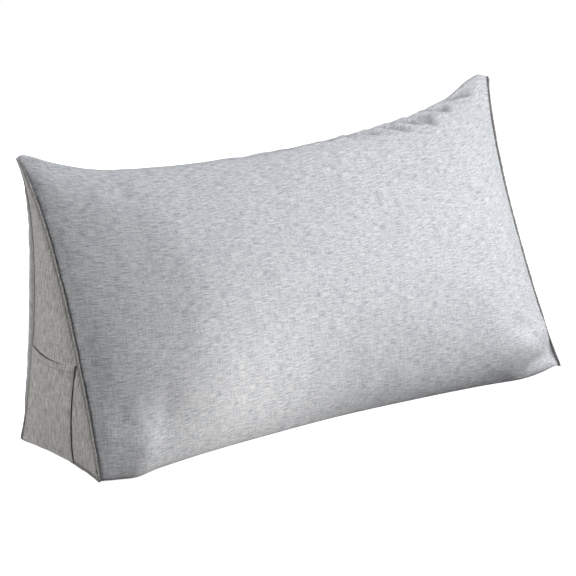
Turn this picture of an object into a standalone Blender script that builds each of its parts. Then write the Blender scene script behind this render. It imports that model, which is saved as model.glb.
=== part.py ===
"""A long wedge-shaped backrest pillow, stuffed tight, with a patch pocket on its left end.

Metres, +Z up. The pillow stands on its flat base with its sloping front towards -Y and its upright back towards
+Y, and its length runs along X. The cover's wrap of front, top, back and base is one filled solid. Each end is
closed by a triangular gusset whose edge stands up round the end as a narrow seam ridge.
"""

import math
from collections import namedtuple

import bmesh
import bpy
from mathutils import Vector

# The wedge between its corner tips, where the seams pull the cover tight
LENGTH = 1.000
BASE_DEPTH = 0.232
TIP_HEIGHT = 0.4895

# For each end, -1 at the left and 1 at the right: how far its three seams are drawn in towards the middle of the
# pillow, how far the gusset swells out between them, how squarely it does so, and how far its tip pokes out. The two
# long seams are drawn in more towards the tip, by DRAW_SKEW
End = namedtuple("End", "front_draw back_draw base_draw swell squareness ear")
ENDS = {
    -1: End(0.0205, 0.023, 0.013, 0.018, 0.3, 0.0065),
    1: End(0.023, 0.020, 0.013, 0.027, 1.0, 0.0),
}
EAR_FADE = 14
BACK_SEAM_PULL = 0.018
DRAW_SKEW = 0.25
STEEPEST_END = 1.5

# Cloth and clearances
SHEET = 0.0020
POCKET_SHEET = 0.0016
GAP = 0.0003
POCKET_GAP = 0.0014
SEAM_RIDGE = 0.0030
RIDGE_LIFT_OFF_FLOOR = 0.0008

# The filling rounds the top over and softens the two lower edges. The base lifts off the floor only near its corners,
# and what is lower than PRESSED_FLAT lies flat on it
TOP_ROUNDING = 0.024
TIP_ROUNDING = 0.007
TIP_ROUNDING_FADE = 40
FOOT_ROUNDING = 0.006
TOP_REACH = 0.17
END_FOOT_LIFT = 0.0045
FLAT_BASE_SHARE = 0.55
FOOT_LIFT_FADE = 4
FOOT_ROUNDING_FADE = 8
PRESSED_FLAT = 0.0003
BACK_FOOT_DRAW = 0.010
TOP_LEAN = 0.23

# How the swelling runs across a panel: pushed up or down it, full and square or lean, in the middle and at the ends,
# and how far up the front its low bulge is highest
CROWN_SKEW = 0.86
BELLY_PLACE = 0.09
MIDDLE_FULLNESS = 0.92
FRONT_END_FULLNESS = 0.62
BACK_END_FULLNESS = 0.14
FULLNESS_FADE = 3
SEAM_PULL_FADE = 40

# One row for each section along the length: its place from the left end (0) to the right end (1), how far the top
# sags below the corner tips, how far the lower front edge stands out of a straight line between its corners, how far
# the front swells out of the flat wedge, how far it also bulges low down over its foot, and how far the back swells.
# All but the place are in metres.
Section = namedtuple("Section", "place top_sag foot_out front_crown belly back_crown")
SECTIONS = (
    Section(0.000, -0.005, 0.000, -0.004, 0.000, 0.000),
    Section(0.010, -0.006, 0.004, 0.006, 0.000, 0.024),
    Section(0.020, -0.005, 0.008, 0.013, 0.000, 0.032),
    Section(0.060, 0.009, 0.016, 0.029, -0.002, 0.037),
    Section(0.120, 0.023, 0.006, 0.051, -0.006, 0.040),
    Section(0.170, 0.030, -0.001, 0.068, -0.007, 0.043),
    Section(0.220, 0.034, -0.007, 0.078, -0.004, 0.045),
    Section(0.320, 0.039, -0.014, 0.081, 0.000, 0.046),
    Section(0.500, 0.042, -0.020, 0.081, 0.003, 0.047),
    Section(0.660, 0.038, -0.012, 0.077, 0.007, 0.046),
    Section(0.800, 0.031, 0.001, 0.067, 0.011, 0.043),
    Section(0.900, 0.018, 0.017, 0.048, 0.016, 0.037),
    Section(0.955, 0.001, 0.011, 0.026, 0.015, 0.031),
    Section(0.985, -0.008, 0.003, 0.009, 0.006, 0.020),
    Section(1.000, -0.005, 0.000, -0.004, 0.000, 0.000),
)

# Short slanted puckers where the cloth is gathered along the top: place of the upper end, length along the pillow,
# drop down the front from upper to lower end, width and depth
Pucker = namedtuple("Pucker", "place run drop width depth")
PUCKERS = (
    Pucker(0.540, 0.085, 0.012, 0.016, 0.0030),
    Pucker(0.612, 0.050, 0.014, 0.014, 0.0025),
    Pucker(0.668, 0.058, 0.034, 0.016, 0.0040),
    Pucker(0.716, 0.072, 0.040, 0.016, 0.0045),
    Pucker(0.764, 0.058, 0.036, 0.015, 0.0040),
    Pucker(0.806, 0.044, 0.040, 0.022, 0.0060),
    Pucker(0.850, 0.042, 0.026, 0.018, 0.0045),
    Pucker(0.905, 0.048, 0.020, 0.018, 0.0040),
)

# Patch pocket on the left gusset, in the gusset's own depth and height
POCKET_FRONT = -0.028
POCKET_MOUTH = 0.1735
POCKET_MOUTH_SAG = 0.0065
POCKET_MOUTH_GAPE = 0.0024
POCKET_GAPE_FADE = 6
POCKET_INSET = 0.006
POCKET_FOOT = 0.006

# How finely the solids are faceted: spans of the length with their number of steps, steps up each side of a
# section, and rings across a gusset
LENGTH_SPANS = ((0.0, 0.02, 3), (0.02, 0.10, 5), (0.10, 0.50, 18), (0.50, 0.94, 36), (0.94, 0.98, 4), (0.98, 1.0, 3))
FRONT_STEPS = 16
TOP_STEPS = 9
BACK_STEPS = 12
BASE_STEPS = 8
GUSSET_RINGS = 8
RING_CROWDING = 1.4
POCKET_STEPS = (12, 9)
SHARP_ANGLE = math.radians(50)

FOOT_FRONT = Vector((-BASE_DEPTH / 2, 0.0))
FOOT_BACK = Vector((BASE_DEPTH / 2, 0.0))
TIP = Vector((BASE_DEPTH / 2, TIP_HEIGHT))
FRONT_SIDE = (TIP - FOOT_FRONT).length
BACK_SIDE = TIP_HEIGHT
BASE_SIDE = BASE_DEPTH
GIRTH = FRONT_SIDE + BACK_SIDE + BASE_SIDE
BINOMIAL = ((-2, 1 / 16), (-1, 4 / 16), (0, 6 / 16), (1, 4 / 16), (2, 1 / 16))
CORE = Vector((BASE_DEPTH / 4, TIP_HEIGHT / 3))
FRONT_OUT = Vector((FOOT_FRONT.y - TIP.y, TIP.x - FOOT_FRONT.x)).normalized()

# These bring the product of two shares, and of three, to 1 at its peak
EDGE_PEAK = 4
PANEL_PEAK = 27

MATERIALS = {
    "front_cloth": ((0.60, 0.61, 0.63, 1.0), 0.92),
    "gusset_cloth": ((0.55, 0.54, 0.53, 1.0), 0.92),
    "pocket_cloth": ((0.55, 0.54, 0.52, 1.0), 0.92),
}


def clear_scene():
    for obj in list(bpy.data.objects):
        bpy.data.objects.remove(obj, do_unlink=True)


def material(name):
    colour, roughness = MATERIALS[name]
    made = bpy.data.materials.new(name)
    made.use_nodes = True
    shader = made.node_tree.nodes["Principled BSDF"]
    shader.inputs["Base Color"].default_value = colour
    shader.inputs["Roughness"].default_value = roughness
    shader.inputs["Metallic"].default_value = 0.0
    return made


def section_value(place, column):
    """A column of SECTIONS at any place, on a smooth curve through its rows."""
    rows = SECTIONS
    places = [row.place for row in rows]
    values = [getattr(row, column) for row in rows]
    last = len(rows) - 1
    at = max(i for i in range(last) if places[i] <= place or i == 0)

    def slope(i):
        before, after = max(i - 1, 0), min(i + 1, last)
        return (values[after] - values[before]) / (places[after] - places[before])

    span = places[at + 1] - places[at]
    t = (place - places[at]) / span
    start, end = values[at], values[at + 1]
    return (
        start * (1 + 2 * t) * (1 - t) ** 2
        + end * t * t * (3 - 2 * t)
        + span * (slope(at) * t * (1 - t) ** 2 + slope(at + 1) * t * t * (t - 1))
    )


def swell(start, end, share, crown, fullness):
    """A point of one side of a section, swollen out of its straight line to the left of start towards end."""
    line = end - start
    outward = Vector((-line.y, line.x)).normalized()
    bulge = max(math.sin(math.pi * share**CROWN_SKEW), 0.0) ** fullness
    return start + line * share + outward * (crown * bulge)


def raw_point(place, girth):
    """Depth and height at a distance round the section: up the front, down the back, then forward along the base."""
    girth %= GIRTH
    end = abs(2 * place - 1)
    lift = END_FOOT_LIFT * max((end - FLAT_BASE_SHARE) / (1 - FLAT_BASE_SHARE), 0.0) ** FOOT_LIFT_FADE
    foot_front = FOOT_FRONT + Vector((-section_value(place, "foot_out"), lift))
    foot_back = FOOT_BACK + Vector((-BACK_FOOT_DRAW * (1 - end**2), lift))
    sag = section_value(place, "top_sag")
    top = TIP + Vector((-TOP_LEAN * sag, -sag))
    if girth < FRONT_SIDE:
        fullness = MIDDLE_FULLNESS + (FRONT_END_FULLNESS - MIDDLE_FULLNESS) * end**FULLNESS_FADE
        share = girth / FRONT_SIDE
        low_bulge = share / BELLY_PLACE * math.exp(1 - share / BELLY_PLACE)
        point = swell(foot_front, top, share, section_value(place, "front_crown"), fullness)
        return point + FRONT_OUT * (section_value(place, "belly") * low_bulge)
    if girth < FRONT_SIDE + BACK_SIDE:
        share = 1 - (girth - FRONT_SIDE) / BACK_SIDE
        fullness = MIDDLE_FULLNESS + (BACK_END_FULLNESS - MIDDLE_FULLNESS) * end**FULLNESS_FADE
        point = swell(foot_back, top, share, -section_value(place, "back_crown"), fullness)
        return point - Vector((BACK_SEAM_PULL * end**SEAM_PULL_FADE * math.sin(math.pi * share), 0.0))
    share = (girth - FRONT_SIDE - BACK_SIDE) / BASE_SIDE
    return foot_back.lerp(foot_front, share)


def pucker_depth(place, girth):
    """How deep the gathered cloth lies below the smooth surface here."""
    depth = 0.0
    for pucker in PUCKERS:
        along = (place - pucker.place) * LENGTH / pucker.run
        down = (FRONT_SIDE - girth) - along * pucker.drop
        across = down * pucker.run / math.hypot(pucker.run, pucker.drop)
        fade = math.exp(-((2 * along - 1) ** 4))
        depth += pucker.depth * fade * math.exp(-((2 * across / pucker.width) ** 2))
    return depth


def section_point(place, girth):
    """Depth and height of the surface, with the top rounded over and the puckers pressed in."""
    end = abs(2 * place - 1)
    near_top = max(1 - ((girth - FRONT_SIDE) / TOP_REACH) ** 2, 0.0) ** 2
    foot_reach = FOOT_ROUNDING * (1 - end**FOOT_ROUNDING_FADE) * (1 - near_top)
    top_reach = (TOP_ROUNDING * (1 - end**2) + TIP_ROUNDING * end**TIP_ROUNDING_FADE) * near_top
    reach = foot_reach + top_reach
    point = sum((raw_point(place, girth + k * reach) * w for k, w in BINOMIAL), Vector((0.0, 0.0)))
    return point + (CORE - point).normalized() * pucker_depth(place, girth)


def shares_of_wedge(depth, height):
    """How near a point of an end is to the tip, the back foot and the front foot, as three shares that add up to 1."""
    tip = height / TIP_HEIGHT
    back = (depth + BASE_DEPTH / 2) / BASE_DEPTH - tip
    return tip, back, 1 - tip - back


def end_reach(side, depth, height):
    """How far an end lies from the middle of the pillow at a depth and height: drawn in at its seams, swollen inside."""
    end = ENDS[side]
    tip, back, front = shares_of_wedge(depth, height)
    front_draw = end.front_draw * (1 + DRAW_SKEW * (tip - front))
    back_draw = end.back_draw * (1 + DRAW_SKEW * (tip - back))
    draw = tip * front * front_draw + tip * back * back_draw + back * front * end.base_draw
    inside = PANEL_PEAK * max(tip * back * front, 0.0)
    swollen = end.swell * (inside + end.squareness * inside * (1 - inside))
    return LENGTH / 2 - EDGE_PEAK * draw + swollen + end.ear * max(tip, 0.0) ** EAR_FADE


def offset_reach(side, depth, height, offset):
    """The end's reach, plus what along X makes this offset square to its surface."""
    step = GAP
    rise_back = (end_reach(side, depth + step, height) - end_reach(side, depth - step, height)) / (2 * step)
    rise_up = (end_reach(side, depth, height + step) - end_reach(side, depth, height - step)) / (2 * step)
    slope = min(math.hypot(rise_back, rise_up), STEEPEST_END)
    return end_reach(side, depth, height) + offset * math.hypot(1.0, slope)


def places_along():
    places = [start + (end - start) * i / steps for start, end, steps in LENGTH_SPANS for i in range(steps)]
    return places + [1.0]


def girths_round():
    """Distances round a section, closer together over the rounded top and the gathers in front of it."""
    low = FRONT_SIDE - TOP_REACH / 2
    high = FRONT_SIDE + TOP_REACH / 3
    back_end = FRONT_SIDE + BACK_SIDE
    spans = (
        (0.0, low, FRONT_STEPS),
        (low, FRONT_SIDE, TOP_STEPS),
        (FRONT_SIDE, high, TOP_STEPS // 3),
        (high, back_end, BACK_STEPS),
        (back_end, GIRTH, BASE_STEPS),
    )
    return [start + (end - start) * i / steps for start, end, steps in spans for i in range(steps)]


def end_outline():
    """The seam round an end, in depth and height."""
    return [section_point(0.0, girth) for girth in girths_round()]


def end_rings(outline):
    """The outline drawn in ring by ring to the middle of the end, outermost first."""
    centre = sum(outline, Vector((0.0, 0.0))) / len(outline)
    shares = [1 - (k / GUSSET_RINGS) ** RING_CROWDING for k in range(GUSSET_RINGS)]
    rings = [[centre.lerp(p, share) for p in outline] for share in shares]
    return rings, centre


def ring_faces(bm, outer, inner):
    """A band of faces between two rings of as many vertices."""
    count = len(outer)
    for i in range(count):
        j = (i + 1) % count
        bm.faces.new((outer[i], outer[j], inner[j], inner[i]))


def close_end(bm, rim, outline, side, offset):
    """Closes a rim of vertices with the end's surface, side -1 at the left and 1 at the right, offset along X."""
    rings, centre = end_rings(outline)
    outer = rim
    for ring in rings[1:]:
        inner = [bm.verts.new((side * offset_reach(side, *p, offset), p.x, p.y)) for p in ring]
        ring_faces(bm, outer, inner)
        outer = inner
    hub = bm.verts.new((side * offset_reach(side, *centre, offset), centre.x, centre.y))
    for i, vertex in enumerate(outer):
        bm.faces.new((vertex, outer[(i + 1) % len(outer)], hub))


def finish(bm, name, cloth, collection):
    bmesh.ops.recalc_face_normals(bm, faces=bm.faces)
    mesh = bpy.data.meshes.new(name)
    bm.to_mesh(mesh)
    bm.free()
    mesh.shade_smooth()
    mesh.set_sharp_from_angle(angle=SHARP_ANGLE)
    mesh.materials.append(material(cloth))
    obj = bpy.data.objects.new(name, mesh)
    collection.objects.link(obj)
    return obj


def cushion_body(collection):
    """The filled wrap of front, top, back and base, lofted along its sections."""
    bm = bmesh.new()
    girths = girths_round()
    outline = end_outline()
    reaches = [(-end_reach(-1, *p), end_reach(1, *p)) for p in outline]
    sections = []
    for place in places_along():
        ring = []
        for girth, (left, right) in zip(girths, reaches):
            point = section_point(place, girth)
            height = point.y if point.y > PRESSED_FLAT else 0.0
            ring.append(bm.verts.new((left + (right - left) * place, point.x, height)))
        sections.append(ring)
    for before, after in zip(sections, sections[1:]):
        ring_faces(bm, before, after)
    close_end(bm, sections[0], outline, -1, 0.0)
    close_end(bm, sections[-1], outline, 1, 0.0)
    return finish(bm, "cushion_body", "front_cloth", collection)


def ridge_outline(outline):
    """The seam's outline, grown outward by the height of the seam ridge and kept off the floor."""
    count = len(outline)
    grown = []
    for i, point in enumerate(outline):
        along = outline[(i + 1) % count] - outline[i - 1]
        out = Vector((-along.y, along.x)).normalized()
        moved = point + out * SEAM_RIDGE
        grown.append(Vector((moved.x, max(moved.y, RIDGE_LIFT_OFF_FLOOR))))
    return grown


def gusset(name, side, collection):
    """A triangular end panel, one sheet of cloth lying on the filling, with its seam ridge as its rim."""
    bm = bmesh.new()
    outline = end_outline()
    edge = ridge_outline(outline)
    rims = []
    for offset in (GAP, GAP + SHEET):
        reaches = [side * offset_reach(side, *p, offset) for p in outline]
        rim = [bm.verts.new((x, q.x, q.y)) for x, q in zip(reaches, edge)]
        inner = [bm.verts.new((x, p.x, p.y)) for x, p in zip(reaches, outline)]
        ring_faces(bm, rim, inner)
        close_end(bm, inner, outline, side, offset)
        rims.append(rim)
    ring_faces(bm, rims[0], rims[1])
    return finish(bm, name, "gusset_cloth", collection)


def back_seam_depth(height):
    """Depth of the left end's back seam at a height."""
    girth = FRONT_SIDE + BACK_SIDE * (1 - height / TIP_HEIGHT)
    return section_point(0.0, girth).x


def pocket(collection):
    """The patch pocket: a sheet on the left gusset, caught in the back and base seams, open along its sagging mouth."""
    bm = bmesh.new()
    across, up = POCKET_STEPS
    layers = []
    for layer in (0, 1):
        grid = []
        for j in range(up + 1):
            row = []
            for i in range(across + 1):
                share = i / across
                mouth = POCKET_MOUTH - POCKET_MOUTH_SAG * math.sin(math.pi * share)
                height = POCKET_FOOT + (mouth - POCKET_FOOT) * j / up
                depth = POCKET_FRONT + (back_seam_depth(height) - POCKET_INSET - POCKET_FRONT) * share
                gape = POCKET_MOUTH_GAPE * math.sin(math.pi * share) * (j / up) ** POCKET_GAPE_FADE
                offset = GAP + SHEET + POCKET_GAP + gape + layer * POCKET_SHEET
                row.append(bm.verts.new((-offset_reach(-1, depth, height, offset), depth, height)))
            grid.append(row)
        layers.append(grid)
        for low, high in zip(grid, grid[1:]):
            for i in range(across):
                bm.faces.new((low[i], low[i + 1], high[i + 1], high[i]))
    borders = [
        grid[0] + [row[-1] for row in grid[1:]] + grid[-1][-2::-1] + [row[0] for row in grid[-2:0:-1]]
        for grid in layers
    ]
    ring_faces(bm, borders[0], borders[1])
    return finish(bm, "pocket_left", "pocket_cloth", collection)


def stand_on_origin(objects):
    """Moves every mesh alike, so that the origin is below the middle of the whole pillow, on the floor."""
    corners = [vertex.co for obj in objects for vertex in obj.data.vertices]
    low = [min(c[axis] for c in corners) for axis in range(3)]
    high = [max(c[axis] for c in corners) for axis in range(3)]
    shift = Vector((-(low[0] + high[0]) / 2, -(low[1] + high[1]) / 2, -low[2]))
    for obj in objects:
        for vertex in obj.data.vertices:
            vertex.co += shift


def main():
    clear_scene()
    collection = bpy.data.collections.new("backrest_pillow")
    bpy.context.scene.collection.children.link(collection)
    pieces = [
        cushion_body(collection),
        gusset("gusset_left", -1, collection),
        gusset("gusset_right", 1, collection),
        pocket(collection),
    ]
    stand_on_origin(pieces)


main()
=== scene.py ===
"""Looks of a long wedge-shaped backrest pillow: its stuffed cover, end gussets, patch pocket, stitching and studio."""

import math
from collections import namedtuple

import bpy
import numpy as np
from bpy.props import FloatProperty, FloatVectorProperty, IntProperty, PointerProperty
from mathutils import Matrix, Vector


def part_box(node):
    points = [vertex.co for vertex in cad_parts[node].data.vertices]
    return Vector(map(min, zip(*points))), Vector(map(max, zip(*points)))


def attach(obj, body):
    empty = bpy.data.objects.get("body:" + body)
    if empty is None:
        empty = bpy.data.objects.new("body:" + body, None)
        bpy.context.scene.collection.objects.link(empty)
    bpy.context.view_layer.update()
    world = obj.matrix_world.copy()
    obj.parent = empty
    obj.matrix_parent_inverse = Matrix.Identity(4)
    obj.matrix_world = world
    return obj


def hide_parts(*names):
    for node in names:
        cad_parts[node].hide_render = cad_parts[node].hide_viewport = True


bl_info = {
    "name": "Backrest Pillow",
    "version": (1, 0, 0),
    "blender": (4, 5, 0),
    "location": "3D View > Sidebar > Pillow",
    "description": "Builds a stuffed wedge pillow with gussets, a patch pocket and melange cloth",
    "category": "Object",
}

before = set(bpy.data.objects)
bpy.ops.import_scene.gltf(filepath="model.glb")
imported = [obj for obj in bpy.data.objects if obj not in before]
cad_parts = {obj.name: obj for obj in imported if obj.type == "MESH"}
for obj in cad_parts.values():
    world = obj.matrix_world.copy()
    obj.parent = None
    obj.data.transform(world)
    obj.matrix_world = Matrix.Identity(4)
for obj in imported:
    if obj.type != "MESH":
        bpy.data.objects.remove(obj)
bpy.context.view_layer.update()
BODY = "root"
CLOTH_MAP = "ClothMap"
# Mesh attribute of painted shade: darkening painted into the cloth in the creases by seams, in the gathers' valleys and
# along the pocket's edges and stitches.
PAINTED_SHADE_ATTRIBUTE = "PaintedShade"

# ---- Shape of the wedge, with the same sizes as its solids ----

LENGTH = 1.000
BASE_DEPTH = 0.232
TIP_HEIGHT = 0.4895

End = namedtuple("End", "front_draw back_draw base_draw swell squareness ear")
ENDS = {
    -1: End(0.0205, 0.023, 0.013, 0.018, 0.3, 0.0065),
    1: End(0.023, 0.020, 0.013, 0.027, 1.0, 0.0),
}
EAR_FADE = 14
BACK_SEAM_PULL = 0.018
DRAW_SKEW = 0.25
STEEPEST_END = 1.5

TOP_ROUNDING = 0.024
TIP_ROUNDING = 0.007
TIP_ROUNDING_FADE = 40
FOOT_ROUNDING = 0.006
TOP_REACH = 0.17
END_FOOT_LIFT = 0.0045
FLAT_BASE_SHARE = 0.55
FOOT_LIFT_FADE = 4
FOOT_ROUNDING_FADE = 8
PRESSED_FLAT = 0.0003
BACK_FOOT_DRAW = 0.010
TOP_LEAN = 0.23

CROWN_SKEW = 0.86
BELLY_PLACE = 0.09
MIDDLE_FULLNESS = 0.92
FRONT_END_FULLNESS = 0.62
BACK_END_FULLNESS = 0.14
FULLNESS_FADE = 3
SEAM_PULL_FADE = 40

Section = namedtuple("Section", "place top_sag foot_out front_crown belly back_crown")
SECTIONS = (
    Section(0.000, -0.005, 0.000, -0.004, 0.000, 0.000),
    Section(0.010, -0.006, 0.004, 0.006, 0.000, 0.024),
    Section(0.020, -0.005, 0.008, 0.013, 0.000, 0.032),
    Section(0.060, 0.009, 0.016, 0.029, -0.002, 0.037),
    Section(0.120, 0.023, 0.006, 0.051, -0.006, 0.040),
    Section(0.170, 0.030, -0.001, 0.068, -0.007, 0.043),
    Section(0.220, 0.034, -0.007, 0.078, -0.004, 0.045),
    Section(0.320, 0.039, -0.014, 0.081, 0.000, 0.046),
    Section(0.500, 0.042, -0.020, 0.081, 0.003, 0.047),
    Section(0.660, 0.038, -0.012, 0.077, 0.007, 0.046),
    Section(0.800, 0.031, 0.001, 0.067, 0.011, 0.043),
    Section(0.900, 0.018, 0.017, 0.048, 0.016, 0.037),
    Section(0.955, 0.001, 0.011, 0.026, 0.015, 0.031),
    Section(0.985, -0.008, 0.003, 0.009, 0.006, 0.020),
    Section(1.000, -0.005, 0.000, -0.004, 0.000, 0.000),
)

FOOT_FRONT = np.array((-BASE_DEPTH / 2, 0.0))
FOOT_BACK = np.array((BASE_DEPTH / 2, 0.0))
TIP = np.array((BASE_DEPTH / 2, TIP_HEIGHT))
FRONT_SIDE = float(np.hypot(*(TIP - FOOT_FRONT)))
FRONT_OUT = np.array((-TIP_HEIGHT, BASE_DEPTH)) / FRONT_SIDE
BACK_SIDE = TIP_HEIGHT
BASE_SIDE = BASE_DEPTH
GIRTH = FRONT_SIDE + BACK_SIDE + BASE_SIDE
BINOMIAL = ((-2, 1 / 16), (-1, 4 / 16), (0, 6 / 16), (1, 4 / 16), (2, 1 / 16))
EDGE_PEAK = 4
PANEL_PEAK = 27

# ---- Folds of the cover ----

# Slanted gathers along the top: place of the upper end, run along the pillow, drop down the front, width, depth
Pucker = namedtuple("Pucker", "place run drop width depth")
PUCKERS = (
    Pucker(0.430, 0.050, 0.014, 0.016, 0.0008),
    Pucker(0.492, 0.060, 0.010, 0.014, 0.0010),
    Pucker(0.540, 0.085, 0.012, 0.014, 0.0028),
    Pucker(0.585, 0.040, 0.020, 0.012, 0.0012),
    Pucker(0.612, 0.050, 0.014, 0.013, 0.0024),
    Pucker(0.640, 0.036, 0.030, 0.011, 0.0014),
    Pucker(0.668, 0.058, 0.034, 0.014, 0.0040),
    Pucker(0.690, 0.030, 0.024, 0.010, 0.0014),
    Pucker(0.716, 0.072, 0.040, 0.014, 0.0046),
    Pucker(0.742, 0.036, 0.034, 0.010, 0.0014),
    Pucker(0.764, 0.058, 0.036, 0.014, 0.0040),
    Pucker(0.806, 0.044, 0.040, 0.020, 0.0060),
    Pucker(0.850, 0.042, 0.026, 0.016, 0.0045),
    Pucker(0.905, 0.048, 0.020, 0.016, 0.0040),
)

# Painted shade in the valleys of the deeper gathers.
PAINTED_CREASE_SHADE = 0.45

# Soft hollows of the stuffing in the front: place, height up the front's slope, half width, half height, lean, depth
Hollow = namedtuple("Hollow", "place up width height lean depth")
HOLLOWS = (
    Hollow(0.150, 0.400, 0.026, 0.090, 0.10, 0.0022),
    Hollow(0.172, 0.255, 0.028, 0.080, 0.15, 0.0024),
    Hollow(0.080, 0.330, 0.020, 0.070, 0.05, 0.0012),
    Hollow(0.085, 0.120, 0.024, 0.060, -0.10, 0.0016),
    Hollow(0.205, 0.120, 0.030, 0.060, 0.10, 0.0012),
    Hollow(0.345, 0.080, 0.016, 0.070, 0.22, 0.0015),
    Hollow(0.430, 0.095, 0.017, 0.080, 0.20, 0.0018),
    Hollow(0.510, 0.085, 0.016, 0.070, 0.20, 0.0017),
    Hollow(0.590, 0.090, 0.018, 0.075, 0.18, 0.0018),
    Hollow(0.680, 0.085, 0.018, 0.065, 0.16, 0.0013),
    Hollow(0.770, 0.110, 0.030, 0.070, 0.00, 0.0012),
    Hollow(0.945, 0.022, 0.055, 0.021, 0.90, 0.0140),
    Hollow(0.930, 0.068, 0.055, 0.020, 0.90, -0.0055),
    Hollow(0.078, 0.040, 0.026, 0.032, 0.30, -0.0068),
    Hollow(0.045, 0.100, 0.016, 0.040, 0.30, 0.0040),
    Hollow(0.130, 0.110, 0.030, 0.045, 0.30, 0.0040),
)

# ---- Seam ridge: a cut through it, as distance out from the seam's line and distance out from the filling's end ----

RidgePoint = namedtuple("RidgePoint", "out off")
RIDGE_PROFILE = (
    RidgePoint(-0.0060, 0.0004),
    RidgePoint(-0.0015, 0.0003),
    RidgePoint(0.0004, 0.0001),
    RidgePoint(0.0016, -0.0002),
    RidgePoint(0.0025, 0.0001),
    RidgePoint(0.0030, 0.0009),
    RidgePoint(0.0029, 0.0017),
    RidgePoint(0.0021, 0.0023),
    RidgePoint(0.0009, 0.0025),
    RidgePoint(-0.0004, 0.0020),
    RidgePoint(-0.0016, 0.0014),
    RidgePoint(-0.0032, 0.0017),
    RidgePoint(-0.0060, 0.0023),
)
SHEET_OUTSIDE = 0.0023
SHEET_INSIDE = 0.0004

# ---- Patch pocket on the left gusset, in the gusset's own depth and height ----

POCKET_FRONT = -0.028
POCKET_MOUTH = 0.1735
POCKET_MOUTH_SAG = 0.0065
POCKET_FOOT = 0.006
POCKET_INSET = 0.006
POCKET_OFF = 0.0037
POCKET_GAPE = 0.0024
POCKET_CLOTH = 0.0015
POCKET_HEM = 0.013
POCKET_HEM_THICKER = 0.0008
POCKET_STITCH_INSET = 0.0035
POCKET_WIDTH = 0.130


def column(name, place):
    """A column of SECTIONS at any places, on a smooth curve through its rows."""
    places = np.array([row.place for row in SECTIONS])
    values = np.array([getattr(row, name) for row in SECTIONS])
    last = len(places) - 1
    before = np.maximum(np.arange(last + 1) - 1, 0)
    after = np.minimum(np.arange(last + 1) + 1, last)
    slopes = (values[after] - values[before]) / (places[after] - places[before])
    at = np.clip(np.searchsorted(places, place, side="right") - 1, 0, last - 1)
    span = places[at + 1] - places[at]
    t = (place - places[at]) / span
    return (
        values[at] * (1 + 2 * t) * (1 - t) ** 2
        + values[at + 1] * t * t * (3 - 2 * t)
        + span * (slopes[at] * t * (1 - t) ** 2 + slopes[at + 1] * t * t * (t - 1))
    )


def swell(start, end, share, crown, fullness):
    """Points of one side of a section, swollen out of the straight line to the left of start towards end."""
    line = end - start
    length = np.linalg.norm(line, axis=-1, keepdims=True)
    outward = np.stack((-line[..., 1], line[..., 0]), -1) / length
    bulge = np.maximum(np.sin(np.pi * share**CROWN_SKEW), 0.0) ** fullness
    return start + line * share[..., None] + outward * (crown * bulge)[..., None]


def raw_points(place, girth):
    """Depth and height at distances round the section: up the front, down the back, forward along the base."""
    girth = girth % GIRTH
    end = np.abs(2 * place - 1)
    lifted = np.maximum((end - FLAT_BASE_SHARE) / (1 - FLAT_BASE_SHARE), 0.0) ** FOOT_LIFT_FADE
    lift = END_FOOT_LIFT * lifted
    foot_front = FOOT_FRONT + np.stack((-column("foot_out", place), lift), -1)
    foot_back = FOOT_BACK + np.stack((-BACK_FOOT_DRAW * (1 - end**2), lift), -1)
    sag = column("top_sag", place)
    top = TIP + np.stack((-TOP_LEAN * sag, -sag), -1)
    fade = end**FULLNESS_FADE
    up = np.clip(girth / FRONT_SIDE, 0, 1)
    front_fullness = MIDDLE_FULLNESS + (FRONT_END_FULLNESS - MIDDLE_FULLNESS) * fade
    low_bulge = column("belly", place) * up / BELLY_PLACE * np.exp(1 - up / BELLY_PLACE)
    front = swell(foot_front, top, up, column("front_crown", place), front_fullness)
    front = front + FRONT_OUT * low_bulge[..., None]
    rise = np.clip(1 - (girth - FRONT_SIDE) / BACK_SIDE, 0, 1)
    back_fullness = MIDDLE_FULLNESS + (BACK_END_FULLNESS - MIDDLE_FULLNESS) * fade
    back = swell(foot_back, top, rise, -column("back_crown", place), back_fullness)
    back[..., 0] -= BACK_SEAM_PULL * end**SEAM_PULL_FADE * np.sin(np.pi * rise)
    along = np.clip((girth - FRONT_SIDE - BACK_SIDE) / BASE_SIDE, 0, 1)[..., None]
    base = foot_back + (foot_front - foot_back) * along
    on_front = (girth < FRONT_SIDE)[..., None]
    on_back = (girth < FRONT_SIDE + BACK_SIDE)[..., None]
    return np.where(on_front, front, np.where(on_back, back, base))


def section_points(place, girth):
    """Depth and height of the stuffed surface, rounded over the top and softened at the foot."""
    place, girth = np.broadcast_arrays(place, girth)
    end = np.abs(2 * place - 1)
    near_top = np.maximum(1 - ((girth - FRONT_SIDE) / TOP_REACH) ** 2, 0.0) ** 2
    foot_reach = FOOT_ROUNDING * (1 - end**FOOT_ROUNDING_FADE) * (1 - near_top)
    reach = foot_reach + (TOP_ROUNDING * (1 - end**2) + TIP_ROUNDING * end**TIP_ROUNDING_FADE) * near_top
    return sum(raw_points(place, girth + k * reach) * weight for k, weight in BINOMIAL)


def end_reach(side, point):
    """How far an end lies from the middle of the pillow at points in depth and height."""
    end = ENDS[side]
    tip = point[..., 1] / TIP_HEIGHT
    back = (point[..., 0] + BASE_DEPTH / 2) / BASE_DEPTH - tip
    front = 1 - tip - back
    front_draw = end.front_draw * (1 + DRAW_SKEW * (tip - front))
    back_draw = end.back_draw * (1 + DRAW_SKEW * (tip - back))
    draw = tip * front * front_draw + tip * back * back_draw + back * front * end.base_draw
    inside = PANEL_PEAK * np.maximum(tip * back * front, 0.0)
    swollen = end.swell * (inside + end.squareness * inside * (1 - inside))
    return LENGTH / 2 - EDGE_PEAK * draw + swollen + end.ear * np.maximum(tip, 0.0) ** EAR_FADE


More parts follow.
